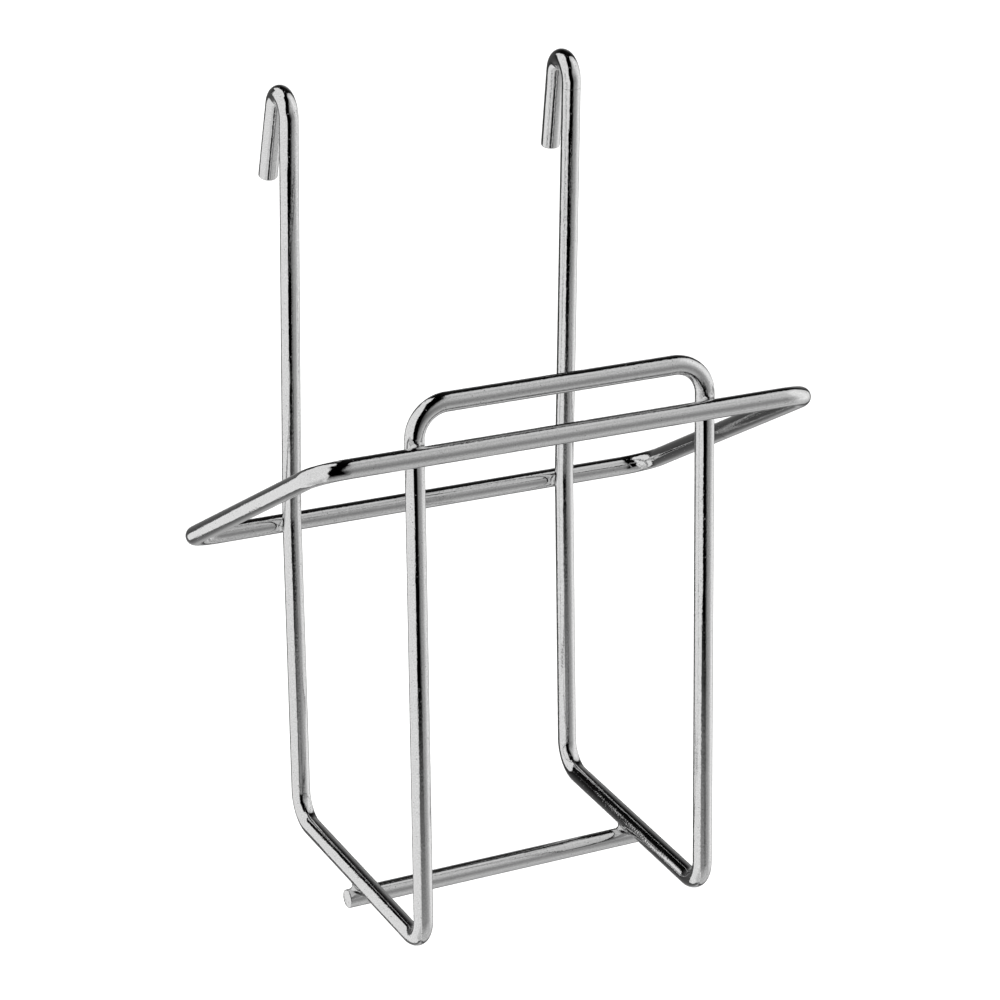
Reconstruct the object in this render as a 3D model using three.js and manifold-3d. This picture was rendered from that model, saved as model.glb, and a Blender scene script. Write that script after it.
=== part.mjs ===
// Plastic bag holder: a rigid, chrome-plated wire form that hangs on a rail by two hooks.
//
// One long wire makes both hooks, the rear legs, the floor rails, the front legs and the top bar.
// A rectangular ring of the same wire is welded round it at a slant, to hold the mouth of a bag open,
// and a straight crossbar is welded under the rails as the floor.
//
// Millimetres, +Z up, +X to the right seen from the front, +Y towards the rail or panel behind.
// The origin is midway between the hooks, at the seat where they rest on the rail.

import * as THREE from 'three';
import { mergeVertices } from 'three/addons/utils/BufferGeometryUtils.js';
import Module from 'manifold-3d';

// Wire
const WIRE_DIAMETER = 6.35;
const WIRE_RADIUS = WIRE_DIAMETER / 2;
const WIRE_SIDES = 16;
const BEND_STEP = THREE.MathUtils.degToRad(15);
const SAME_POINT = 1e-4;
const SAME_VERTEX = 1e-5;

// Frame wire: heights are above the centreline of the floor rails, depths are from the middle of the rails
const LEG_SPACING = 100;
const RAIL_LENGTH = 105;
const HOOK_HEIGHT = 254;
const HOOK_BEND_RADIUS = 6;
const HOOK_FREE_LENGTH = 28;
const LEFT_HOOK_FLARE = THREE.MathUtils.degToRad(14.5);
const RIGHT_HOOK_FLARE = THREE.MathUtils.degToRad(7);
const REAR_BOW_HEIGHT = 108;
const REAR_BOW_DEPTH = 4;
const REAR_BOW_RADIUS = 60;
const REAR_FLOOR_BEND_RADIUS = 10;
const FRONT_FLOOR_BEND_RADIUS = 10;
const TOP_BAR_HEIGHT = 184;
const TOP_BAR_BEND_RADIUS = 11;
const FRONT_LEAN = 5;

// Ring
const RING_WIDTH = 170;
const RING_FRONT_HEIGHT = 170;
const RING_REAR_HEIGHT = 104;
const RING_BEND_RADIUS = 11;

// Crossbar: it lies slightly askew, its left end nearer the front
const CROSSBAR_LENGTH = 110;
const CROSSBAR_DEPTH = 3;
const CROSSBAR_SKEW = 4.5;

// Joins: separate solids keep this gap where they meet
const GAP = 0.3;
const WELD_RADIUS = 3.7;
const WELD_HALF_THICKNESS = 2;
const WELD_SIDES = 24;
const BUTT_WELD_THICKNESS = 0.8;
const BUTT_WELD_RADIUS = WIRE_RADIUS + 0.1;
const CUTTER_LENGTH = 20;

const HALF_SPACING = LEG_SPACING / 2;
const HALF_RAIL = RAIL_LENGTH / 2;
const CROSSING_DISTANCE = WIRE_DIAMETER + GAP;
const UP = new THREE.Vector3(0, 0, 1);
const BACK = new THREE.Vector3(0, 1, 0);

const wasm = await Module();
wasm.setup();

// ---- Wires ------------------------------------------------------------------------------------

// A wire's centreline, as stations with a point and a tangent: straight between its corners, and
// bent round each inner corner on an arc of that corner's radius.
class BentWire extends THREE.Curve {
  constructor(corners) {
    super();
    this.stations = bendStations(corners);
  }

  get steps() {
    return this.stations.length - 1;
  }

  getPoint(t, target = new THREE.Vector3()) {
    const place = t * this.steps;
    const before = Math.min(Math.floor(place), this.steps - 1);
    const [a, b] = [this.stations[before], this.stations[before + 1]];
    return target.lerpVectors(a.point, b.point, place - before);
  }

  getPointAt(u, target) {
    return this.getPoint(u, target);
  }

  getTangentAt(u, target = new THREE.Vector3()) {
    return target.copy(this.stations[Math.round(u * this.steps)].tangent);
  }
}

function corner(x, y, z, radius = 0) {
  return { point: new THREE.Vector3(x, y, z), radius };
}

function bendStations(corners) {
  const last = corners.length - 1;
  const direction = (i) => corners[i + 1].point.clone().sub(corners[i].point).normalize();
  const stations = [{ point: corners[0].point, tangent: direction(0) }];
  for (let i = 1; i < last; i += 1) {
    stations.push(...bendArc(corners[i], direction(i - 1), direction(i)));
  }
  stations.push({ point: corners[last].point, tangent: direction(last - 1) });
  return stations.filter(({ point }, i) => i === 0 || point.distanceTo(stations[i - 1].point) > SAME_POINT);
}

function bendArc({ point, radius }, inward, outward) {
  const turn = inward.angleTo(outward);
  const axis = inward.clone().cross(outward).normalize();
  const start = point.clone().addScaledVector(inward, -radius * Math.tan(turn / 2));
  const toCentre = axis.clone().cross(inward).multiplyScalar(radius);
  const centre = start.clone().add(toCentre);
  const count = Math.max(2, Math.ceil(turn / BEND_STEP));
  const stations = [];
  for (let i = 0; i <= count; i += 1) {
    const angle = (turn * i) / count;
    const spoke = toCentre.clone().negate().applyAxisAngle(axis, angle);
    stations.push({
      point: centre.clone().add(spoke),
      tangent: inward.clone().applyAxisAngle(axis, angle),
    });
  }
  return stations;
}

function wireSection() {
  const section = new THREE.Shape();
  for (let i = 0; i < WIRE_SIDES; i += 1) {
    const angle = (i / WIRE_SIDES) * 2 * Math.PI;
    const [x, y] = [WIRE_RADIUS * Math.cos(angle), WIRE_RADIUS * Math.sin(angle)];
    if (i === 0) section.moveTo(x, y);
    else section.lineTo(x, y);
  }
  section.closePath();
  return section;
}

function wireGeometry(corners) {
  const path = new BentWire(corners);
  return new THREE.ExtrudeGeometry(wireSection(), {
    steps: path.steps,
    extrudePath: path,
    bevelEnabled: false,
  });
}

// ---- Where the wires run ----------------------------------------------------------------------

// The rear legs bow gently backwards, and stand straight above their feet again at the hooks.
function rearLegDepth(height) {
  const fromBow = height < REAR_BOW_HEIGHT
    ? height / REAR_BOW_HEIGHT
    : (HOOK_HEIGHT - height) / (HOOK_HEIGHT - REAR_BOW_HEIGHT);
  return HALF_RAIL + REAR_BOW_DEPTH * fromBow;
}

// The front legs lean back towards the top bar.
function frontLegDepth(height) {
  return -HALF_RAIL + FRONT_LEAN * (height / TOP_BAR_HEIGHT);
}

function rearLegDirection(height) {
  const reach = height < REAR_BOW_HEIGHT ? REAR_BOW_HEIGHT : HOOK_HEIGHT - REAR_BOW_HEIGHT;
  const lean = height < REAR_BOW_HEIGHT ? REAR_BOW_DEPTH : -REAR_BOW_DEPTH;
  return new THREE.Vector3(0, lean, reach).normalize();
}

const FRONT_LEG_DIRECTION = new THREE.Vector3(0, FRONT_LEAN, TOP_BAR_HEIGHT).normalize();

// Each hook turns back over the rail on one round bend, and its free end flares away from the leg.
const HOOK_UP = rearLegDirection(HOOK_HEIGHT);
const HOOK_ACROSS = new THREE.Vector3(0, HOOK_UP.z, -HOOK_UP.y);
const HOOK_TOP = new THREE.Vector3(0, rearLegDepth(HOOK_HEIGHT), HOOK_HEIGHT);

function hookCorners(x, flare) {
  const tangent = HOOK_BEND_RADIUS * Math.tan((Math.PI / 2 - flare) / 2);
  const shoulder = HOOK_TOP.clone().addScaledVector(HOOK_ACROSS, HOOK_BEND_RADIUS + tangent);
  const freeDirection = HOOK_UP.clone().multiplyScalar(-Math.cos(flare))
    .addScaledVector(HOOK_ACROSS, Math.sin(flare));
  const tip = shoulder.clone().addScaledVector(freeDirection, tangent + HOOK_FREE_LENGTH);
  return [
    corner(x, tip.y, tip.z),
    corner(x, shoulder.y, shoulder.z, HOOK_BEND_RADIUS),
    corner(x, HOOK_TOP.y, HOOK_TOP.z, HOOK_BEND_RADIUS),
  ];
}

// The rail touches both hooks at the top of the inside of their bends.
function hookSeat() {
  const centre = HOOK_TOP.clone().addScaledVector(HOOK_ACROSS, HOOK_BEND_RADIUS)
    .addScaledVector(HOOK_UP, -HOOK_BEND_RADIUS);
  return centre.addScaledVector(UP, HOOK_BEND_RADIUS - WIRE_RADIUS);
}

function sideCorners(x, flare) {
  return [
    ...hookCorners(x, flare),
    corner(x, rearLegDepth(REAR_BOW_HEIGHT), REAR_BOW_HEIGHT, REAR_BOW_RADIUS),
    corner(x, HALF_RAIL, 0, REAR_FLOOR_BEND_RADIUS),
    corner(x, -HALF_RAIL, 0, FRONT_FLOOR_BEND_RADIUS),
    corner(x, frontLegDepth(TOP_BAR_HEIGHT), TOP_BAR_HEIGHT, TOP_BAR_BEND_RADIUS),
  ];
}

function frameWire() {
  const left = sideCorners(-HALF_SPACING, LEFT_HOOK_FLARE);
  const right = sideCorners(HALF_SPACING, RIGHT_HOOK_FLARE).reverse();
  return wireGeometry([...left, ...right]);
}

// The ring passes in front of the front legs and behind the rear legs.
const RING_FRONT_DEPTH = frontLegDepth(RING_FRONT_HEIGHT) - CROSSING_DISTANCE;
const RING_REAR_DEPTH = rearLegDepth(RING_REAR_HEIGHT) + CROSSING_DISTANCE;

function ringCorner(side, depth, height) {
  return corner((side * RING_WIDTH) / 2, depth, height, RING_BEND_RADIUS);
}

// The ring's two ends meet at a butt weld in the middle of its right side.
function buttJoint() {
  const front = ringCorner(1, RING_FRONT_DEPTH, RING_FRONT_HEIGHT).point;
  const rear = ringCorner(1, RING_REAR_DEPTH, RING_REAR_HEIGHT).point;
  const middle = front.clone().lerp(rear, 0.5);
  return { middle, towardsFront: front.sub(rear).normalize() };
}

function ringWire() {
  const { middle, towardsFront } = buttJoint();
  const halfJoint = BUTT_WELD_THICKNESS / 2 + GAP;
  const frontEnd = middle.clone().addScaledVector(towardsFront, halfJoint);
  const rearEnd = middle.clone().addScaledVector(towardsFront, -halfJoint);
  return wireGeometry([
    corner(...frontEnd.toArray()),
    ringCorner(1, RING_FRONT_DEPTH, RING_FRONT_HEIGHT),
    ringCorner(-1, RING_FRONT_DEPTH, RING_FRONT_HEIGHT),
    ringCorner(-1, RING_REAR_DEPTH, RING_REAR_HEIGHT),
    ringCorner(1, RING_REAR_DEPTH, RING_REAR_HEIGHT),
    corner(...rearEnd.toArray()),
  ]);
}

const CROSSBAR_DIRECTION = new THREE.Vector3(LEG_SPACING, CROSSBAR_SKEW, 0).normalize();
const CROSSBAR_MIDDLE = new THREE.Vector3(0, CROSSBAR_DEPTH, -CROSSING_DISTANCE);

function crossbarPoint(fromMiddle) {
  return CROSSBAR_MIDDLE.clone().addScaledVector(CROSSBAR_DIRECTION, fromMiddle);
}

function crossbar() {
  const ends = [-CROSSBAR_LENGTH / 2, CROSSBAR_LENGTH / 2].map(crossbarPoint);
  return wireGeometry(ends.map((end) => corner(...end.toArray())));
}

// ---- Welds ------------------------------------------------------------------------------------

function toSolid(geometry) {
  const bare = geometry.clone();
  bare.deleteAttribute('normal');
  bare.deleteAttribute('uv');
  const welded = mergeVertices(bare, SAME_VERTEX);
  return new wasm.Manifold(new wasm.Mesh({
    numProp: 3,
    vertProperties: new Float32Array(welded.attributes.position.array),
    triVerts: new Uint32Array(welded.index.array),
  }));
}

function toGeometry(solid) {
  const mesh = solid.getMesh();
  const geometry = new THREE.BufferGeometry();
  geometry.setAttribute('position', new THREE.BufferAttribute(mesh.vertProperties, 3));
  geometry.setIndex(new THREE.BufferAttribute(mesh.triVerts, 1));
  geometry.computeVertexNormals();
  return geometry;
}

function wireClearance(point, direction) {
  const cutter = new THREE.CylinderGeometry(
    WIRE_RADIUS + GAP, WIRE_RADIUS + GAP, CUTTER_LENGTH, 2 * WIRE_SIDES,
  );
  cutter.applyQuaternion(new THREE.Quaternion().setFromUnitVectors(BACK, direction));
  cutter.translate(...point.toArray());
  return toSolid(cutter);
}

// Where two wires cross, the weld metal squeezed out of the joint stands as a small cushion
// between them, hollowed by both wires.
function crossWeld(a, b) {
  const normal = b.point.clone().sub(a.point).normalize();
  const middle = a.point.clone().lerp(b.point, 0.5);
  const cushion = new THREE.SphereGeometry(1, WELD_SIDES, WELD_SIDES / 2);
  cushion.scale(WELD_RADIUS, WELD_HALF_THICKNESS, WELD_RADIUS);
  cushion.applyQuaternion(new THREE.Quaternion().setFromUnitVectors(BACK, normal));
  cushion.translate(...middle.toArray());
  const solid = toSolid(cushion)
    .subtract(wireClearance(a.point, a.direction))
    .subtract(wireClearance(b.point, b.direction));
  return toGeometry(solid);
}

function ringFrontWeld(x) {
  const along = new THREE.Vector3(1, 0, 0);
  return crossWeld(
    {
      point: new THREE.Vector3(x, frontLegDepth(RING_FRONT_HEIGHT), RING_FRONT_HEIGHT),
      direction: FRONT_LEG_DIRECTION,
    },
    { point: new THREE.Vector3(x, RING_FRONT_DEPTH, RING_FRONT_HEIGHT), direction: along },
  );
}

function ringRearWeld(x) {
  const along = new THREE.Vector3(1, 0, 0);
  return crossWeld(
    {
      point: new THREE.Vector3(x, rearLegDepth(RING_REAR_HEIGHT), RING_REAR_HEIGHT),
      direction: rearLegDirection(RING_REAR_HEIGHT),
    },
    { point: new THREE.Vector3(x, RING_REAR_DEPTH, RING_REAR_HEIGHT), direction: along },
  );
}

function crossbarWeld(x) {
  const under = crossbarPoint(x / CROSSBAR_DIRECTION.x);
  const onRail = new THREE.Vector3(x, under.y, 0);
  return crossWeld(
    { point: onRail, direction: BACK },
    { point: under, direction: CROSSBAR_DIRECTION },
  );
}

function buttWeld() {
  const { middle, towardsFront } = buttJoint();
  const half = BUTT_WELD_THICKNESS / 2;
  const profile = [
    new THREE.Vector2(0, -half),
    new THREE.Vector2(WIRE_RADIUS, -half),
    new THREE.Vector2(BUTT_WELD_RADIUS, 0),
    new THREE.Vector2(WIRE_RADIUS, half),
    new THREE.Vector2(0, half),
  ];
  const disc = new THREE.LatheGeometry(profile, 2 * WIRE_SIDES);
  disc.applyQuaternion(new THREE.Quaternion().setFromUnitVectors(BACK, towardsFront));
  disc.translate(...middle.toArray());
  return disc;
}

// ---- Assembly ---------------------------------------------------------------------------------

const CHROME_PLATE = { color: 0xd6d8da, roughness: 0.12, metalness: 1 };
const WELD_PLATE = { color: 0xb9bbbd, roughness: 0.3, metalness: 1 };

function piece(name, geometry, finish) {
  const mesh = new THREE.Mesh(geometry, new THREE.MeshStandardMaterial(finish));
  mesh.name = name;
  return mesh;
}

const holder = new THREE.Group();
holder.add(piece('frame_wire', frameWire(), CHROME_PLATE));
holder.add(piece('ring_wire', ringWire(), CHROME_PLATE));
holder.add(piece('crossbar', crossbar(), CHROME_PLATE));
holder.add(piece('ring_butt_weld', buttWeld(), WELD_PLATE));
for (const [side, x] of [['left', -HALF_SPACING], ['right', HALF_SPACING]]) {
  holder.add(piece(`ring_front_weld_${side}`, ringFrontWeld(x), WELD_PLATE));
  holder.add(piece(`ring_rear_weld_${side}`, ringRearWeld(x), WELD_PLATE));
  holder.add(piece(`crossbar_weld_${side}`, crossbarWeld(x), WELD_PLATE));
}
holder.position.copy(hookSeat()).negate();

export default holder;
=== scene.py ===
import math

import bmesh
import bpy
import numpy as np
from mathutils import Matrix, Vector


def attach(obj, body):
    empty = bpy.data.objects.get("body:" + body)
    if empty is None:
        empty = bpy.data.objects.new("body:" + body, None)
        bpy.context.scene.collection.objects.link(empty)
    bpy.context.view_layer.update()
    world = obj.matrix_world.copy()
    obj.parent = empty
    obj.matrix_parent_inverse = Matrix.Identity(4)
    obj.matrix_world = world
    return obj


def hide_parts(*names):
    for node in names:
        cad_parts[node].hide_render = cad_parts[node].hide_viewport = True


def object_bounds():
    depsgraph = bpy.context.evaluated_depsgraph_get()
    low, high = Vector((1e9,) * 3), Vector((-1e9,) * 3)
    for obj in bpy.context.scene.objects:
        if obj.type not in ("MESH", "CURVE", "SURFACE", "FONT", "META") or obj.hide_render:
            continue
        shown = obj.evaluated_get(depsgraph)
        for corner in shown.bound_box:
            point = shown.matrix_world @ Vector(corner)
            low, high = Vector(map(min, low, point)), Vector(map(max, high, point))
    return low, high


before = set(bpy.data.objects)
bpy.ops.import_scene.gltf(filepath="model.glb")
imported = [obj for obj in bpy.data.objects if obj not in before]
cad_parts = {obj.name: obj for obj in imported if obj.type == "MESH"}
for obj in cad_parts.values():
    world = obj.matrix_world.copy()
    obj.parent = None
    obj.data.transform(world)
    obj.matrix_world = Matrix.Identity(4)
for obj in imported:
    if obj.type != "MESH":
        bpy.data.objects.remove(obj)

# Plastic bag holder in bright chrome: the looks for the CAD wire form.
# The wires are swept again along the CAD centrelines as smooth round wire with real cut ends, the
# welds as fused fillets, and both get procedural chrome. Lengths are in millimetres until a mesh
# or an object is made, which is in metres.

MM = 0.001
CAD_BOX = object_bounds()
BODY = "root"

# ---- The CAD's driving dimensions ---------------------------------------------------------------

WIRE_RADIUS = 3.175
SKIN_INSET = 0.02
LEG_SPACING = 100
RAIL_LENGTH = 105
HOOK_HEIGHT = 254
HOOK_BEND_RADIUS = 6
HOOK_FREE_LENGTH = 28
LEFT_HOOK_FLARE = math.radians(14.5)
RIGHT_HOOK_FLARE = math.radians(7)
REAR_BOW_HEIGHT = 108
REAR_BOW_DEPTH = 4
REAR_BOW_RADIUS = 60
FLOOR_BEND_RADIUS = 10
TOP_BAR_HEIGHT = 184
TOP_BAR_BEND_RADIUS = 11
FRONT_LEAN = 5
RING_WIDTH = 170
RING_FRONT_HEIGHT = 170
RING_REAR_HEIGHT = 104
RING_BEND_RADIUS = 11
CROSSBAR_LENGTH = 110
CROSSBAR_DEPTH = 3
CROSSBAR_SKEW = 4.5
GAP = 0.3
BUTT_WELD_THICKNESS = 0.8
CROSSING_DISTANCE = 2 * WIRE_RADIUS + GAP
HALF_SPACING = LEG_SPACING / 2
HALF_RAIL = RAIL_LENGTH / 2

Y, Z = Vector((0, 1, 0)), Vector((0, 0, 1))


def rear_leg_depth(height):
    if height < REAR_BOW_HEIGHT:
        return HALF_RAIL + REAR_BOW_DEPTH * height / REAR_BOW_HEIGHT
    return HALF_RAIL + REAR_BOW_DEPTH * (HOOK_HEIGHT - height) / (HOOK_HEIGHT - REAR_BOW_HEIGHT)


def front_leg_depth(height):
    return -HALF_RAIL + FRONT_LEAN * height / TOP_BAR_HEIGHT


REAR_LEG_LOW = Vector((0, REAR_BOW_DEPTH, REAR_BOW_HEIGHT)).normalized()
REAR_LEG_HIGH = Vector((0, -REAR_BOW_DEPTH, HOOK_HEIGHT - REAR_BOW_HEIGHT)).normalized()
FRONT_LEG = Vector((0, FRONT_LEAN, TOP_BAR_HEIGHT)).normalized()
CROSSBAR_DIRECTION = Vector((LEG_SPACING, CROSSBAR_SKEW, 0)).normalized()
RING_FRONT_DEPTH = front_leg_depth(RING_FRONT_HEIGHT) - CROSSING_DISTANCE
RING_REAR_DEPTH = rear_leg_depth(RING_REAR_HEIGHT) + CROSSING_DISTANCE
HOOK_ACROSS = Vector((0, REAR_LEG_HIGH.z, -REAR_LEG_HIGH.y))
HOOK_TOP = Vector((0, rear_leg_depth(HOOK_HEIGHT), HOOK_HEIGHT))
HOOK_CENTRE = HOOK_TOP + (HOOK_ACROSS - REAR_LEG_HIGH) * HOOK_BEND_RADIUS
SEAT = HOOK_CENTRE + Z * (HOOK_BEND_RADIUS - WIRE_RADIUS)


def in_frame(point):
    """The CAD's place in metres from the hooks' seat, for one in millimetres from mid-rail."""
    return (Vector(point) - SEAT) * MM


# ---- Wire centrelines ---------------------------------------------------------------------------

BEND_STEP = math.radians(3)
STRAIGHT_STEP = 5.0
SAME_STATION = 1e-3


def bend_arc(point, radius, inward, outward):
    """The arc that rounds a corner, as (point, tangent) stations."""
    turn = inward.angle(outward)
    axis = inward.cross(outward).normalized()
    start = point - inward * (radius * math.tan(turn / 2))
    to_centre = axis.cross(inward) * radius
    count = max(2, math.ceil(turn / BEND_STEP))
    stations = []
    for i in range(count + 1):
        turned = Matrix.Rotation(turn * i / count, 3, axis)
        stations.append((start + to_centre - turned @ to_centre, turned @ inward))
    return stations


def bent_wire(corners):
    """Stations (point, tangent) along a wire whose corners are (point, bend radius)."""
    points = [Vector(p) for p, _ in corners]
    ways = [(b - a).normalized() for a, b in zip(points, points[1:])]
    runs = [[(points[0], ways[0])]]
    for i in range(1, len(points) - 1):
        runs.append(bend_arc(points[i], corners[i][1], ways[i - 1], ways[i]))
    runs.append([(points[-1], ways[-1])])
    stations = []
    for run in runs:
        if stations:
            start, way = stations[-1]
            gap = (run[0][0] - start).length
            for i in range(1, math.ceil(gap / STRAIGHT_STEP)):
                stations.append((start.lerp(run[0][0], i * STRAIGHT_STEP / gap), way))
            if gap < SAME_STATION:
                run = run[1:]
        stations.extend(run)
    return stations


def hook_corners(x, flare):
    """The tip, shoulder and top of a hook whose free end flares away from its leg."""
    tangent = HOOK_BEND_RADIUS * math.tan((math.pi / 2 - flare) / 2)
    shoulder = HOOK_TOP + HOOK_ACROSS * (HOOK_BEND_RADIUS + tangent)
    free = HOOK_ACROSS * math.sin(flare) - REAR_LEG_HIGH * math.cos(flare)
    tip = shoulder + free * (tangent + HOOK_FREE_LENGTH)
    return [
        ((x, tip.y, tip.z), 0),
        ((x, shoulder.y, shoulder.z), HOOK_BEND_RADIUS),
        ((x, HOOK_TOP.y, HOOK_TOP.z), HOOK_BEND_RADIUS),
    ]


def side_corners(x, flare):
    """The frame wire's corners on one side, from the hook's tip to the top bar."""
    return hook_corners(x, flare) + [
        ((x, rear_leg_depth(REAR_BOW_HEIGHT), REAR_BOW_HEIGHT), REAR_BOW_RADIUS),
        ((x, HALF_RAIL, 0), FLOOR_BEND_RADIUS),
        ((x, -HALF_RAIL, 0), FLOOR_BEND_RADIUS),
        ((x, front_leg_depth(TOP_BAR_HEIGHT), TOP_BAR_HEIGHT), TOP_BAR_BEND_RADIUS),
    ]


def ring_corner(side, depth, height):
    return ((side * RING_WIDTH / 2, depth, height), RING_BEND_RADIUS)


def butt_joint():
    """The middle of the ring's right side, and the way from there towards the front."""
    front = Vector(ring_corner(1, RING_FRONT_DEPTH, RING_FRONT_HEIGHT)[0])
    rear = Vector(ring_corner(1, RING_REAR_DEPTH, RING_REAR_HEIGHT)[0])
    return front.lerp(rear, 0.5), (front - rear).normalized()


def ring_corners():
    middle, to_front = butt_joint()
    half = BUTT_WELD_THICKNESS / 2
    return [
        (middle + to_front * half, 0),
        ring_corner(1, RING_FRONT_DEPTH, RING_FRONT_HEIGHT),
        ring_corner(-1, RING_FRONT_DEPTH, RING_FRONT_HEIGHT),
        ring_corner(-1, RING_REAR_DEPTH, RING_REAR_HEIGHT),
        ring_corner(1, RING_REAR_DEPTH, RING_REAR_HEIGHT),
        (middle - to_front * half, 0),
    ]


def crossbar_point(from_middle):
    middle = Vector((0, CROSSBAR_DEPTH, -CROSSING_DISTANCE))
    return middle + CROSSBAR_DIRECTION * from_middle


# ---- Meshes -------------------------------------------------------------------------------------

WIRE_SIDES = 48
SHARP_ANGLE = math.radians(50)
# How a cut end rounds off: (distance from the end, how far the surface is drawn in). The last
# point keeps the shading of the rounding off the straight wire behind it.
END_PROFILE = [(0.0, 0.42), (0.06, 0.22), (0.2, 0.07), (0.42, 0.0), (0.5, 0.0)]
RING_END_PROFILE = [(0.0, 0.06), (0.03, 0.0)]
# The flat cut face has rings inside it, at these shares of its radius.
CAP_RINGS = (0.75, 0.45, 0.15)
# The bend mark on the right leg, below its hook.
BEND_MARK_DROP = 2.0
BEND_MARK_DEPTH = 0.15
BEND_MARK_HALF_WIDTH = 0.09
# The groove at the front edge of the ring's butt weld.
SEAM_EDGE = 0.03
SEAM_EDGE_INSET = 0.06
SEAM_GROOVE_START = 0.26
SEAM_GROOVE_FLOOR = 0.2
SEAM_GROOVE_DEPTH = 0.12


def add_mesh(name, vertices, faces, coordinates):
    """A smooth mesh object from points in millimetres, with its points' places on the wire."""
    mesh = bpy.data.meshes.new(name)
    mesh.from_pydata([in_frame(v) for v in vertices], [], faces)
    mesh.validate()
    attribute = mesh.attributes.new("wire_mm", "FLOAT_VECTOR", "POINT")
    attribute.data.foreach_set("vector", np.array(coordinates, np.float32).ravel())
    for polygon in mesh.polygons:
        polygon.use_smooth = True
    mesh.set_sharp_from_angle(angle=SHARP_ANGLE)
    obj = bpy.data.objects.new(name, mesh)
    bpy.context.scene.collection.objects.link(obj)
    return obj


def with_cut_ends(stations, profile):
    """Adds the stations of both rounded cut ends; each station becomes (point, tangent, radius)."""
    first, last = stations[0], stations[-1]
    radius = WIRE_RADIUS - SKIN_INSET
    start = [(first[0] + first[1] * d, first[1], radius - inset) for d, inset in profile]
    end = [(last[0] - last[1] * d, last[1], radius - inset) for d, inset in profile]
    middle = [(p, t, radius) for p, t in stations[1:-1]]
    return start + middle + end[::-1]


def with_groove(stations, at, depth, half_width):
    """Presses a shallow groove round the wire at a distance from its start, on a straight stretch."""
    run = 0.0
    for i in range(len(stations) - 1):
        point, tangent, radius = stations[i]
        step = (stations[i + 1][0] - point).length
        if run + step > at:
            marks = [(at - half_width, 0), (at, depth), (at + half_width, 0)]
            new = [(point + tangent * (d - run), tangent, radius - inset) for d, inset in marks]
            return stations[:i + 1] + new + stations[i + 1:]
        run += step
    return stations


class WireSurface:
    """Rings of points round a wire and the faces between them."""

    def __init__(self):
        self.vertices = []
        self.coordinates = []
        self.faces = []

    def add_ring(self, station, normal, run, share=1.0):
        """Adds a ring at a share of the wire's radius, and returns the place of its first point."""
        point, tangent, radius = station
        radius *= share
        side = tangent.cross(normal)
        for k in range(WIRE_SIDES):
            angle = 2 * math.pi * k / WIRE_SIDES
            across = normal * math.cos(angle) + side * math.sin(angle)
            self.vertices.append(point + across * radius)
            self.coordinates.append((radius * math.cos(angle), radius * math.sin(angle), run))
        return len(self.vertices) - WIRE_SIDES

    def join_rings(self, a, b):
        for k in range(WIRE_SIDES):
            n = (k + 1) % WIRE_SIDES
            self.faces.append((a + k, a + n, b + n, b + k))

    def add_last_cap(self, station, normal, run, outer):
        for share in CAP_RINGS:
            inner = self.add_ring(station, normal, run, share)
            self.join_rings(outer, inner)
            outer = inner
        self.faces.append(tuple(range(outer, outer + WIRE_SIDES)))

    def add_first_cap(self, station, normal, run, outer):
        for share in CAP_RINGS:
            inner = self.add_ring(station, normal, run, share)
            self.join_rings(inner, outer)
            outer = inner
        self.faces.append(tuple(reversed(range(outer, outer + WIRE_SIDES))))


def swept_wire(name, stations):
    """Round wire along its stations (point, tangent, radius), closed by flat cut faces."""
    surface = WireSurface()
    first_normal = stations[0][1].orthogonal().normalized()
    normal, run = first_normal, 0.0
    before, ring = stations[0], None
    for station in stations:
        normal = before[1].rotation_difference(station[1]) @ normal
        run += (station[0] - before[0]).length
        ring_before = ring
        ring = surface.add_ring(station, normal, run)
        if ring_before is not None:
            surface.join_rings(ring_before, ring)
        before = station
    surface.add_last_cap(before, normal, run, ring)
    surface.add_first_cap(stations[0], first_normal, 0.0, 0)
    return add_mesh(name, surface.vertices, surface.faces, surface.coordinates)


# The weld fillet between two crossing wires: a concave throat round the point where they touch,
# which runs out along the top of each wire and stops against the flank of the other.
FILLET_TURNS = 96
FILLET_STEPS = 12
FILLET_NEAR = 2.85
FILLET_RUN_OUT = 0.6
FILLET_THROAT = 2.3
FILLET_WAVE = 0.16
FILLET_WAVES = 5
# The fillet's edges run on inside the wires: this far towards its middle, and this deep.
FILLET_TUCK = 0.05
FILLET_SINK = 0.3


def surface_height(offset, towards):
    """How high a wire's surface stands from the middle plane, at an offset from its axis."""
    inside = max(WIRE_RADIUS ** 2 - offset ** 2, 0.0)
    return towards * (CROSSING_DISTANCE / 2 - math.sqrt(inside))


def fillet_profile(angle, wave_low, wave_high):
    """The (reach, height) points up the fillet at an angle from the lower wire's axis."""
    along, across = abs(math.cos(angle)), abs(math.sin(angle))
    reach_low = FILLET_NEAR + FILLET_RUN_OUT * along ** 2 + wave_low
    reach_high = FILLET_NEAR + FILLET_RUN_OUT * across ** 2 + wave_high
    low = (reach_low, surface_height(reach_low * across, -1))
    high = (reach_high, surface_height(reach_high * along, 1))
    middle = surface_height(FILLET_THROAT * across, -1) + surface_height(FILLET_THROAT * along, 1)
    throat = (FILLET_THROAT, middle / 2)
    points = [(low[0] - FILLET_TUCK, low[1] - FILLET_SINK)]
    for j in range(FILLET_STEPS + 1):
        t = j / FILLET_STEPS
        weights = ((1 - t) ** 2, 2 * t * (1 - t), t * t)
        curve = list(zip(weights, (low, throat, high)))
        points.append(tuple(sum(w * p[k] for w, p in curve) for k in (0, 1)))
    return points + [(high[0] - FILLET_TUCK, high[1] + FILLET_SINK)]


def wave(angle, phases):
    """How far the fillet's edge wanders at an angle round it."""
    waves = (math.sin((k + 2) * angle + phase) / (k + 2) for k, phase in enumerate(phases))
    return FILLET_WAVE * sum(waves)


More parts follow.
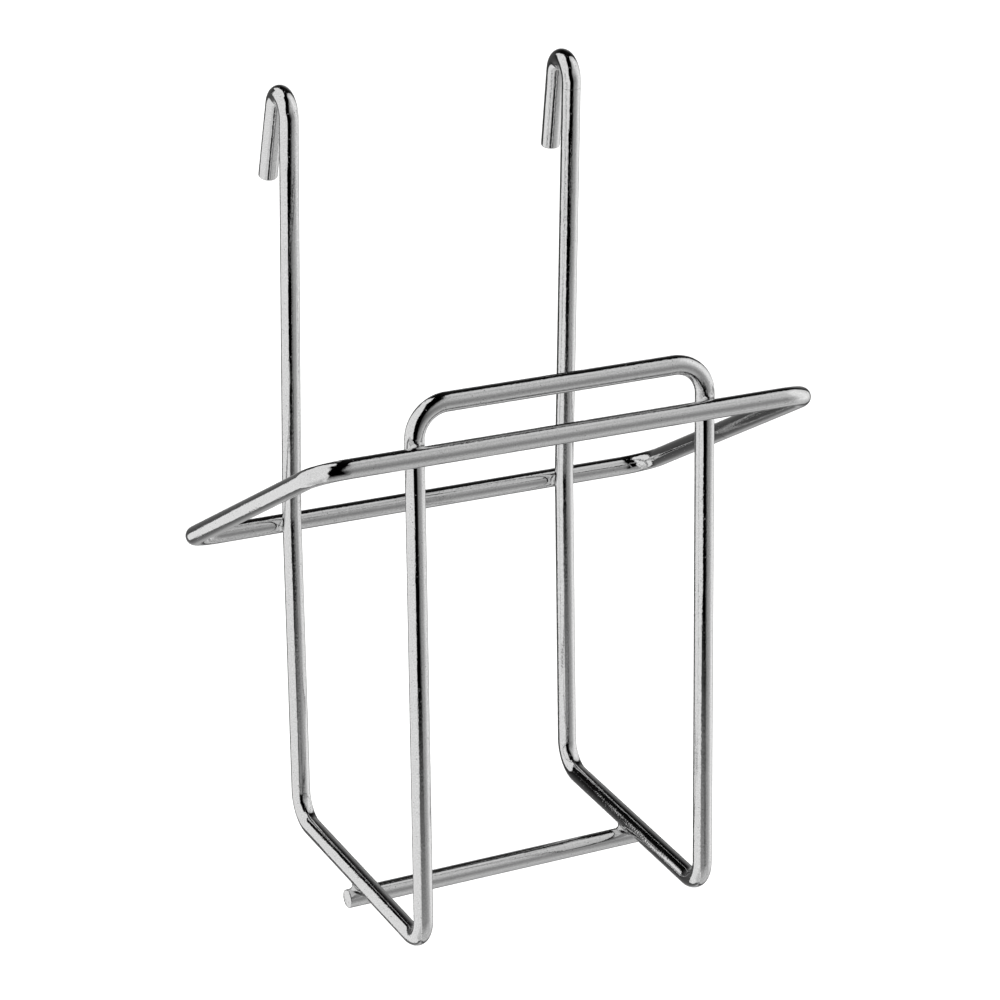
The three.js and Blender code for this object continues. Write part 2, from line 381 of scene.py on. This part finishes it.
def ring_of_strips(count, row):
    """The faces of a band of strips, each with a row of points, and of the two ends it leaves open."""
    faces = []
    for i in range(count):
        a, b = i * row, ((i + 1) % count) * row
        for j in range(row - 1):
            faces.append((a + j, b + j, b + j + 1, a + j + 1))
    faces.append(tuple(i * row for i in reversed(range(count))))
    faces.append(tuple(i * row + row - 1 for i in range(count)))
    return faces


def weld_fillet(name, below, below_axis, above, seed):
    """The slightly uneven bead that joins two crossing wires."""
    random = np.random.default_rng(seed)
    phases_low, phases_high = random.uniform(0, 2 * math.pi, (2, FILLET_WAVES))
    centre = below.lerp(above, 0.5)
    up = (above - below).normalized()
    along = (below_axis - up * below_axis.dot(up)).normalized()
    across = up.cross(along)
    vertices, coordinates = [], []
    for i in range(FILLET_TURNS):
        angle = 2 * math.pi * i / FILLET_TURNS
        way = along * math.cos(angle) + across * math.sin(angle)
        profile = fillet_profile(angle, wave(angle, phases_low), wave(angle, phases_high))
        for reach, height in profile:
            vertices.append(centre + way * reach + up * height)
            coordinates.append((reach * math.cos(angle), reach * math.sin(angle), height))
    faces = ring_of_strips(FILLET_TURNS, len(profile))
    return add_mesh(name, vertices, faces, coordinates)


def butt_seam(name):
    """The ring's butt weld, ground flush: a thin collar with a hairline groove at its front edge."""
    middle, to_front = butt_joint()
    half = BUTT_WELD_THICKNESS / 2
    profile = [
        (-half, SEAM_EDGE_INSET),
        (SEAM_EDGE - half, 0.0),
        (half - SEAM_GROOVE_START, 0.0),
        (half - SEAM_GROOVE_FLOOR, SEAM_GROOVE_DEPTH),
        (half, SEAM_GROOVE_DEPTH),
    ]
    radius = WIRE_RADIUS - SKIN_INSET
    stations = [(middle + to_front * d, to_front, radius - inset) for d, inset in profile]
    return swept_wire(name, stations)


# ---- Chrome -------------------------------------------------------------------------------------

def new_material(name):
    material = bpy.data.materials.new(name)
    material.use_nodes = True
    material.node_tree.nodes.clear()
    return material, material.node_tree.nodes, material.node_tree.links


def math_node(nodes, links, operation, a, b):
    node = nodes.new("ShaderNodeMath")
    node.operation = operation
    for socket, value in zip(node.inputs, (a, b)):
        if isinstance(value, (int, float)):
            socket.default_value = value
        else:
            links.new(value, socket)
    return node.outputs[0]


def map_range(nodes, links, value, low, high, to_low, to_high):
    node = nodes.new("ShaderNodeMapRange")
    node.interpolation_type = "SMOOTHSTEP"
    links.new(value, node.inputs["Value"])
    for socket, number in zip(node.inputs[1:5], (low, high, to_low, to_high)):
        socket.default_value = number
    return node.outputs["Result"]


def stretched(nodes, links, vector, scale):
    node = nodes.new("ShaderNodeMapping")
    node.inputs["Scale"].default_value = scale
    links.new(vector, node.inputs["Vector"])
    return node.outputs["Vector"]


def noise(nodes, links, vector, scale, detail):
    node = nodes.new("ShaderNodeTexNoise")
    node.inputs["Scale"].default_value = scale
    node.inputs["Detail"].default_value = detail
    links.new(vector, node.inputs["Vector"])
    return node.outputs["Fac"]


def pits(nodes, links, vector, scale, size):
    """1 on the plating and 0 in small scattered pits."""
    node = nodes.new("ShaderNodeTexVoronoi")
    node.inputs["Scale"].default_value = scale
    node.inputs["Randomness"].default_value = 1.0
    links.new(vector, node.inputs["Vector"])
    return map_range(nodes, links, node.outputs["Distance"], size * 0.4, size, 0.0, 1.0)


PIT_SHADE = 0.35


def plated_colour(nodes, links, tint, pitted, grain):
    """The plating's tint, dark in the pits and a little uneven with the grain."""
    colour = nodes.new("ShaderNodeMix")
    colour.data_type = "RGBA"
    colour.inputs["A"].default_value = (*[c * PIT_SHADE for c in tint], 1)
    colour.inputs["B"].default_value = (*tint, 1)
    links.new(pitted, colour.inputs["Factor"])
    shade = nodes.new("ShaderNodeVectorMath")
    shade.operation = "SCALE"
    links.new(colour.outputs["Result"], shade.inputs[0])
    links.new(map_range(nodes, links, grain, 0.3, 0.7, 0.88, 1.06), shade.inputs["Scale"])
    return shade.outputs["Vector"]


def relief_normal(nodes, links, height, layers):
    """The normal of a height in millimetres, with more layers (pattern, depth) added to it."""
    for layer, depth in layers:
        part = math_node(nodes, links, "MULTIPLY", layer, depth)
        height = math_node(nodes, links, "ADD", height, part)
    bump = nodes.new("ShaderNodeBump")
    bump.inputs["Strength"].default_value = 1.0
    bump.inputs["Distance"].default_value = MM
    links.new(height, bump.inputs["Height"])
    return bump.outputs["Normal"]


def chrome(name, tint, gloss, relief, pit_depth):
    """Bright chrome over drawn wire: long faint draw marks, a short mottle, sparse pits and
    patches where the polish is duller. Relief and pit depth are in millimetres."""
    material, nodes, links = new_material(name)
    output = nodes.new("ShaderNodeOutputMaterial")
    shader = nodes.new("ShaderNodeBsdfPrincipled")
    shader.inputs["Metallic"].default_value = 1.0
    links.new(shader.outputs["BSDF"], output.inputs["Surface"])
    place = nodes.new("ShaderNodeAttribute")
    place.attribute_name = "wire_mm"
    wire = place.outputs["Vector"]

    draw_marks = noise(nodes, links, stretched(nodes, links, wire, (2.0, 2.0, 0.04)), 1.0, 3.0)
    mottle = noise(nodes, links, stretched(nodes, links, wire, (2.0, 2.0, 1.0)), 1.0, 3.0)
    grain = noise(nodes, links, wire, 3.0, 2.0)
    swell = noise(nodes, links, stretched(nodes, links, wire, (0.2, 0.2, 0.05)), 1.0, 1.0)
    patches = noise(nodes, links, stretched(nodes, links, wire, (0.25, 0.25, 0.06)), 1.0, 3.0)
    cells = pits(nodes, links, wire, 0.8, 0.16)
    rare = map_range(nodes, links, noise(nodes, links, wire, 0.35, 1.0), 0.5, 0.54, 1.0, 0.0)
    pitted = math_node(nodes, links, "MAXIMUM", cells, rare)

    links.new(plated_colour(nodes, links, tint, pitted, grain), shader.inputs["Base Color"])
    dull = map_range(nodes, links, patches, 0.4, 0.7, gloss, gloss * 2.5)
    links.new(dull, shader.inputs["Roughness"])

    # The mottle is deeper where the polish is duller.
    worn = map_range(nodes, links, patches, 0.35, 0.7, 0.4, 2.4)
    worn_mottle = math_node(nodes, links, "MULTIPLY", mottle, worn)
    height = math_node(nodes, links, "MULTIPLY", worn_mottle, relief)
    layers = [(draw_marks, relief * 0.6), (swell, relief * 4), (pitted, pit_depth)]
    links.new(relief_normal(nodes, links, height, layers), shader.inputs["Normal"])
    return material


# ---- Pieces -------------------------------------------------------------------------------------

def finish_piece(piece, node, material):
    piece.data.materials.append(material)
    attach(piece, BODY)
    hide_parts(node)


def build_wires(material):
    left = side_corners(-HALF_SPACING, LEFT_HOOK_FLARE)
    right = side_corners(HALF_SPACING, RIGHT_HOOK_FLARE)
    stations = with_cut_ends(bent_wire(left + right[::-1]), END_PROFILE)
    length = sum((b[0] - a[0]).length for a, b in zip(stations, stations[1:]))
    hook_length = HOOK_FREE_LENGTH + HOOK_BEND_RADIUS * (math.pi - RIGHT_HOOK_FLARE)
    bend_mark = length - hook_length - BEND_MARK_DROP
    stations = with_groove(stations, bend_mark, BEND_MARK_DEPTH, BEND_MARK_HALF_WIDTH)
    finish_piece(swept_wire("chrome_frame_wire", stations), "frame_wire", material)

    stations = with_cut_ends(bent_wire(ring_corners()), RING_END_PROFILE)
    finish_piece(swept_wire("chrome_ring_wire", stations), "ring_wire", material)

    ends = [(crossbar_point(s * CROSSBAR_LENGTH / 2), 0) for s in (-1, 1)]
    stations = with_cut_ends(bent_wire(ends), END_PROFILE)
    finish_piece(swept_wire("chrome_crossbar", stations), "crossbar", material)


def build_welds(material):
    finish_piece(butt_seam("ring_butt_seam"), "ring_butt_weld", material)
    for index, (side, x) in enumerate((("left", -HALF_SPACING), ("right", HALF_SPACING))):
        leg = Vector((x, front_leg_depth(RING_FRONT_HEIGHT), RING_FRONT_HEIGHT))
        ring = Vector((x, RING_FRONT_DEPTH, RING_FRONT_HEIGHT))
        weld = weld_fillet(f"ring_front_fillet_{side}", leg, FRONT_LEG, ring, 11 + index)
        finish_piece(weld, f"ring_front_weld_{side}", material)

        leg = Vector((x, rear_leg_depth(RING_REAR_HEIGHT), RING_REAR_HEIGHT))
        ring = Vector((x, RING_REAR_DEPTH, RING_REAR_HEIGHT))
        weld = weld_fillet(f"ring_rear_fillet_{side}", leg, REAR_LEG_LOW, ring, 21 + index)
        finish_piece(weld, f"ring_rear_weld_{side}", material)

        bar = crossbar_point(x / CROSSBAR_DIRECTION.x)
        rail = Vector((x, bar.y, 0))
        weld = weld_fillet(f"crossbar_fillet_{side}", rail, Y, bar, 31 + index)
        finish_piece(weld, f"crossbar_weld_{side}", material)


# ---- Studio -------------------------------------------------------------------------------------

VIEW_AZIMUTH = math.radians(-24.3)
VIEW_ELEVATION = math.radians(22.1)
CAMERA_DISTANCE = 1.463
CAMERA_LENS = 162
AIM_OFFSET = Vector((0.0006, -0.0085, 0.0032))
FLOOR_DROP = 0.65
FLOOR_SIZE = 40
BACKDROP_RADIUS = 12
BACKDROP_BRIGHTNESS = 1.2
SUN_STRENGTH = 3.2
SUN_SPREAD = math.radians(60)
# The cards, in metres: a footprint of (x, y) points, its bottom and top, and its brightness by
# share of its height.
LEFT_REFLECTOR = [(-0.240, -0.030), (-0.150, 0.190)], -1.0, 0.8, [(0.0, 1.0), (1.0, 1.0)]
LEFT_WING = [(-0.150, 0.190), (-0.100, 0.350)], 0.09, 0.8, [(0.0, 1.0), (1.0, 1.0)]
ARC_STEPS = 24
TABLE_EDGE_RADIUS = 0.5
TABLE_EDGE_AZIMUTHS = (-14, 30)
TABLE_EDGE = -0.8, -0.335, [(0.0, 0.5), (0.66, 0.3), (0.76, 0.36), (0.86, 0.2), (1.0, 0.0)]
# A small black card stands before each hook, placed from the hook's own middle.
HOOK_SHADE_FOOTPRINT = [(-0.0245, -0.0300), (-0.0120, -0.0370)]
HOOK_SHADE = -0.1, -0.03, [(0.0, 0.0), (1.0, 0.0)]


def centre():
    low, high = CAD_BOX
    return (Vector(low) + Vector(high)) / 2


def add_camera():
    data = bpy.data.cameras.new("camera")
    data.lens = CAMERA_LENS
    data.sensor_width = 36
    data.clip_end = 100
    camera = bpy.data.objects.new("camera", data)
    bpy.context.scene.collection.objects.link(camera)
    back = Vector((
        math.sin(VIEW_AZIMUTH) * math.cos(VIEW_ELEVATION),
        -math.cos(VIEW_AZIMUTH) * math.cos(VIEW_ELEVATION),
        math.sin(VIEW_ELEVATION),
    ))
    camera.location = centre() + AIM_OFFSET + back * CAMERA_DISTANCE
    camera.rotation_euler = (-back).to_track_quat("-Z", "Y").to_euler()
    bpy.context.scene.camera = camera


def floor_material():
    material, nodes, links = new_material("pale_floor")
    output = nodes.new("ShaderNodeOutputMaterial")
    shader = nodes.new("ShaderNodeBsdfPrincipled")
    shader.inputs["Base Color"].default_value = (0.9, 0.9, 0.9, 1)
    shader.inputs["Roughness"].default_value = 0.9
    links.new(shader.outputs["BSDF"], output.inputs["Surface"])
    return material


def add_floor():
    mesh = bpy.data.meshes.new("floor")
    half = FLOOR_SIZE / 2
    corners = [(-half, -half, 0), (half, -half, 0), (half, half, 0), (-half, half, 0)]
    mesh.from_pydata(corners, [], [(0, 1, 2, 3)])
    mesh.materials.append(floor_material())
    floor = bpy.data.objects.new("floor", mesh)
    floor.location.z = CAD_BOX[0][2] - FLOOR_DROP
    floor.visible_glossy = False
    bpy.context.scene.collection.objects.link(floor)


def emission_material(name):
    """A material that only shines, with its emission node."""
    material, nodes, links = new_material(name)
    output = nodes.new("ShaderNodeOutputMaterial")
    emission = nodes.new("ShaderNodeEmission")
    links.new(emission.outputs[0], output.inputs["Surface"])
    return material, nodes, links, emission


def backdrop_material():
    material, _, _, emission = emission_material("pale_backdrop")
    emission.inputs["Color"].default_value = (1, 1, 1, 1)
    emission.inputs["Strength"].default_value = BACKDROP_BRIGHTNESS
    material.cycles.emission_sampling = "NONE"
    return material


def add_backdrop():
    """A plain pale dome all round, seen past the floor's edge. It lights and mirrors nothing."""
    dome = bmesh.new()
    bmesh.ops.create_uvsphere(dome, u_segments=48, v_segments=24, radius=BACKDROP_RADIUS)
    mesh = bpy.data.meshes.new("backdrop")
    dome.to_mesh(mesh)
    dome.free()
    mesh.materials.append(backdrop_material())
    backdrop = bpy.data.objects.new("backdrop", mesh)
    backdrop.visible_diffuse = False
    backdrop.visible_glossy = False
    backdrop.visible_transmission = False
    backdrop.visible_shadow = False
    bpy.context.scene.collection.objects.link(backdrop)


def add_sun():
    """Plain soft light from above, which lights the floor and isn't mirrored in the chrome."""
    data = bpy.data.lights.new("soft_overhead", "SUN")
    data.energy = SUN_STRENGTH
    data.angle = SUN_SPREAD
    light = bpy.data.objects.new("soft_overhead", data)
    light.visible_glossy = False
    bpy.context.scene.collection.objects.link(light)


def brightness_ramp(nodes, links, value, stops):
    """Brightness by a value from 0 to 1, through stops (value, brightness)."""
    ramp = nodes.new("ShaderNodeValToRGB")
    ramp.color_ramp.interpolation = "LINEAR"
    while len(ramp.color_ramp.elements) < len(stops):
        ramp.color_ramp.elements.new(0.5)
    for element, (position, brightness) in zip(ramp.color_ramp.elements, stops):
        element.position = position
        element.color = (brightness, brightness, brightness, 1)
    links.new(value, ramp.inputs[0])
    return ramp.outputs["Color"]


def card_material(name, stops):
    """A reflector card whose brightness follows stops (share of its height, brightness)."""
    material, nodes, links, emission = emission_material(name)
    coordinate = nodes.new("ShaderNodeTexCoord")
    separate = nodes.new("ShaderNodeSeparateXYZ")
    links.new(coordinate.outputs["UV"], separate.inputs[0])
    links.new(brightness_ramp(nodes, links, separate.outputs[1], stops), emission.inputs["Color"])
    return material


def add_card(name, footprint, low, high, stops):
    """An upright card over a footprint of (x, y) points, in metres, which only reflections see."""
    vertices = [(x, y, z) for x, y in footprint for z in (low, high)]
    faces = [(2 * i, 2 * i + 2, 2 * i + 3, 2 * i + 1) for i in range(len(footprint) - 1)]
    mesh = bpy.data.meshes.new(name)
    mesh.from_pydata(vertices, [], faces)
    uv = mesh.uv_layers.new(name="UVMap")
    for loop in mesh.loops:
        uv.data[loop.index].uv = (0.5, loop.vertex_index % 2)
    mesh.materials.append(card_material(name, stops))
    card = bpy.data.objects.new(name, mesh)
    card.visible_camera = False
    card.visible_diffuse = False
    card.visible_shadow = False
    bpy.context.scene.collection.objects.link(card)


def arc_footprint(radius, azimuths):
    """Points on an arc round the holder, between two azimuths from the camera's side."""
    middle = centre()
    first, last = azimuths
    points = []
    for i in range(ARC_STEPS + 1):
        angle = VIEW_AZIMUTH + math.radians(first + (last - first) * i / ARC_STEPS)
        points.append((middle.x + radius * math.sin(angle), middle.y - radius * math.cos(angle)))
    return points


def add_cards():
    add_card("left_reflector", *LEFT_REFLECTOR)
    add_card("left_wing", *LEFT_WING)
    add_card("front_table_edge", arc_footprint(TABLE_EDGE_RADIUS, TABLE_EDGE_AZIMUTHS), *TABLE_EDGE)
    for side, x in (("left", -HALF_SPACING), ("right", HALF_SPACING)):
        footprint = [(x * MM + across, depth) for across, depth in HOOK_SHADE_FOOTPRINT]
        add_card(f"{side}_hook_shade", footprint, *HOOK_SHADE)


# The room by azimuth from the camera's side, in degrees, positive to the camera's right. The
# left is one big white panel. The right brightens from a dark gap at the camera, first over a
# grey wall and then to a second panel. Behind is a dim wall.
LEFT_PANEL = [(-180, 0.0), (-110, 0.0), (-108, 1.0), (-16, 1.0), (-13, 0.0), (180, 0.0)]
RIGHT_WALL = [(-180, 0.0), (22, 0.0), (30, 0.14), (40, 0.36), (55, 0.5), (72, 0.45), (92, 0.0),
              (180, 0.0)]
RIGHT_PANEL = [(-180, 0.0), (58, 0.0), (75, 0.26), (95, 1.0), (120, 1.15), (150, 0.9), (156, 0.0),
               (180, 0.0)]
BACK_WALL = [(-180, 0.4), (-170, 0.33), (-161, 0.19), (-148, 0.12), (-125, 0.07), (-110, 0.0),
             (146, 0.0), (160, 0.06), (170, 0.2), (180, 0.4)]
FRONT_FLOOR = [(-180, 0.0), (-30, 0.0), (-14, 1.0), (28, 1.0), (45, 0.0), (180, 0.0)]
# The side panels stand upright, so they end at a steepness: the angle up from the horizon seen
# along the camera's line. Their brightness by steepness, in degrees.
LEFT_PANEL_RISE = [(-90, 0.65), (-65, 0.7), (-45, 1.0), (62, 1.0), (67, 0.0), (90, 0.0)]
RIGHT_WALL_RISE = [(-90, 1.2), (-66, 1.3), (-51, 1.25), (-33, 0.95), (-14, 0.7), (6, 0.72),
                   (25, 0.92), (43, 1.2), (57, 1.0), (66, 0.6), (71, 0.0), (90, 0.0)]
RIGHT_PANEL_RISE = [(-90, 0.6), (-62, 0.6), (-46, 0.65), (-26, 1.0), (46, 1.0), (60, 0.78),
                    (74, 0.7), (77, 0.0), (90, 0.0)]
# The wall behind and the floor in front by elevation, in degrees.
BACK_WALL_RISE = [(-90, 1.7), (-60, 1.3), (-40, 1.2), (-20, 0.9), (4, 0.8), (20, 0.3),
                  (34, 0.03), (90, 0.0)]
FRONT_FLOOR_RISE = [(-90, 0.65), (-60, 0.5), (-36, 0.28), (-27, 0.0), (90, 0.0)]
# The gap at the camera leans to the left as it rises: (elevation, shift in degrees).
GAP_LEAN = (-20, 25, 14)


def degree_ramp(nodes, links, angle, full_turn, stops):
    """Brightness by an angle in radians, through stops (degrees, brightness)."""
    share = math_node(nodes, links, "MULTIPLY_ADD", angle, 1 / math.radians(full_turn))
    share.node.inputs[2].default_value = 0.5
    placed = [(degrees / full_turn + 0.5, brightness) for degrees, brightness in stops]
    return brightness_ramp(nodes, links, share, placed)


def view_angles(nodes, links):
    """The azimuth, elevation and steepness of the direction in which the room is seen."""
    coordinate = nodes.new("ShaderNodeTexCoord")
    turn = nodes.new("ShaderNodeMapping")
    turn.inputs["Rotation"].default_value[2] = -VIEW_AZIMUTH
    separate = nodes.new("ShaderNodeSeparateXYZ")
    links.new(coordinate.outputs["Generated"], turn.inputs["Vector"])
    links.new(turn.outputs["Vector"], separate.inputs[0])
    right, away, up = separate.outputs
    towards = math_node(nodes, links, "MULTIPLY", away, -1.0)
    azimuth = math_node(nodes, links, "ARCTAN2", right, towards)
    elevation = math_node(nodes, links, "ARCSINE", up, 0.0)
    low, high, shift = (math.radians(v) for v in GAP_LEAN)
    lean = map_range(nodes, links, elevation, low, high, 0.0, shift)
    azimuth = math_node(nodes, links, "ADD", azimuth, lean)
    sideways_share = math_node(nodes, links, "ABSOLUTE", right, 0.0)
    steepness = math_node(nodes, links, "ARCTAN2", up, sideways_share)
    return azimuth, elevation, steepness


def add_world():
    """The studio room, by direction only: what the chrome mirrors beyond the cards."""
    world = bpy.data.worlds.new("studio")
    world.use_nodes = True
    nodes, links = world.node_tree.nodes, world.node_tree.links
    nodes.clear()
    output = nodes.new("ShaderNodeOutputWorld")
    background = nodes.new("ShaderNodeBackground")
    azimuth, elevation, steepness = view_angles(nodes, links)
    total = None
    for across, rise, angle in ((LEFT_PANEL, LEFT_PANEL_RISE, steepness),
                                (RIGHT_WALL, RIGHT_WALL_RISE, steepness),
                                (RIGHT_PANEL, RIGHT_PANEL_RISE, steepness),
                                (BACK_WALL, BACK_WALL_RISE, elevation),
                                (FRONT_FLOOR, FRONT_FLOOR_RISE, elevation)):
        sideways = degree_ramp(nodes, links, azimuth, 360, across)
        upwards = degree_ramp(nodes, links, angle, 180, rise)
        part = math_node(nodes, links, "MULTIPLY", sideways, upwards)
        total = part if total is None else math_node(nodes, links, "ADD", total, part)
    background.inputs["Color"].default_value = (1, 1, 1, 1)
    links.new(total, background.inputs["Strength"])
    links.new(background.outputs[0], output.inputs["Surface"])
    bpy.context.scene.world = world


add_camera()
add_floor()
add_backdrop()
add_sun()
add_cards()
add_world()
bpy.context.scene.view_settings.view_transform = "Standard"

build_wires(chrome("chrome_plate", (0.68, 0.68, 0.68), gloss=0.04, relief=0.022, pit_depth=0.04))
build_welds(chrome("chrome_over_weld", (0.6, 0.6, 0.6), gloss=0.12, relief=0.04, pit_depth=0.05))
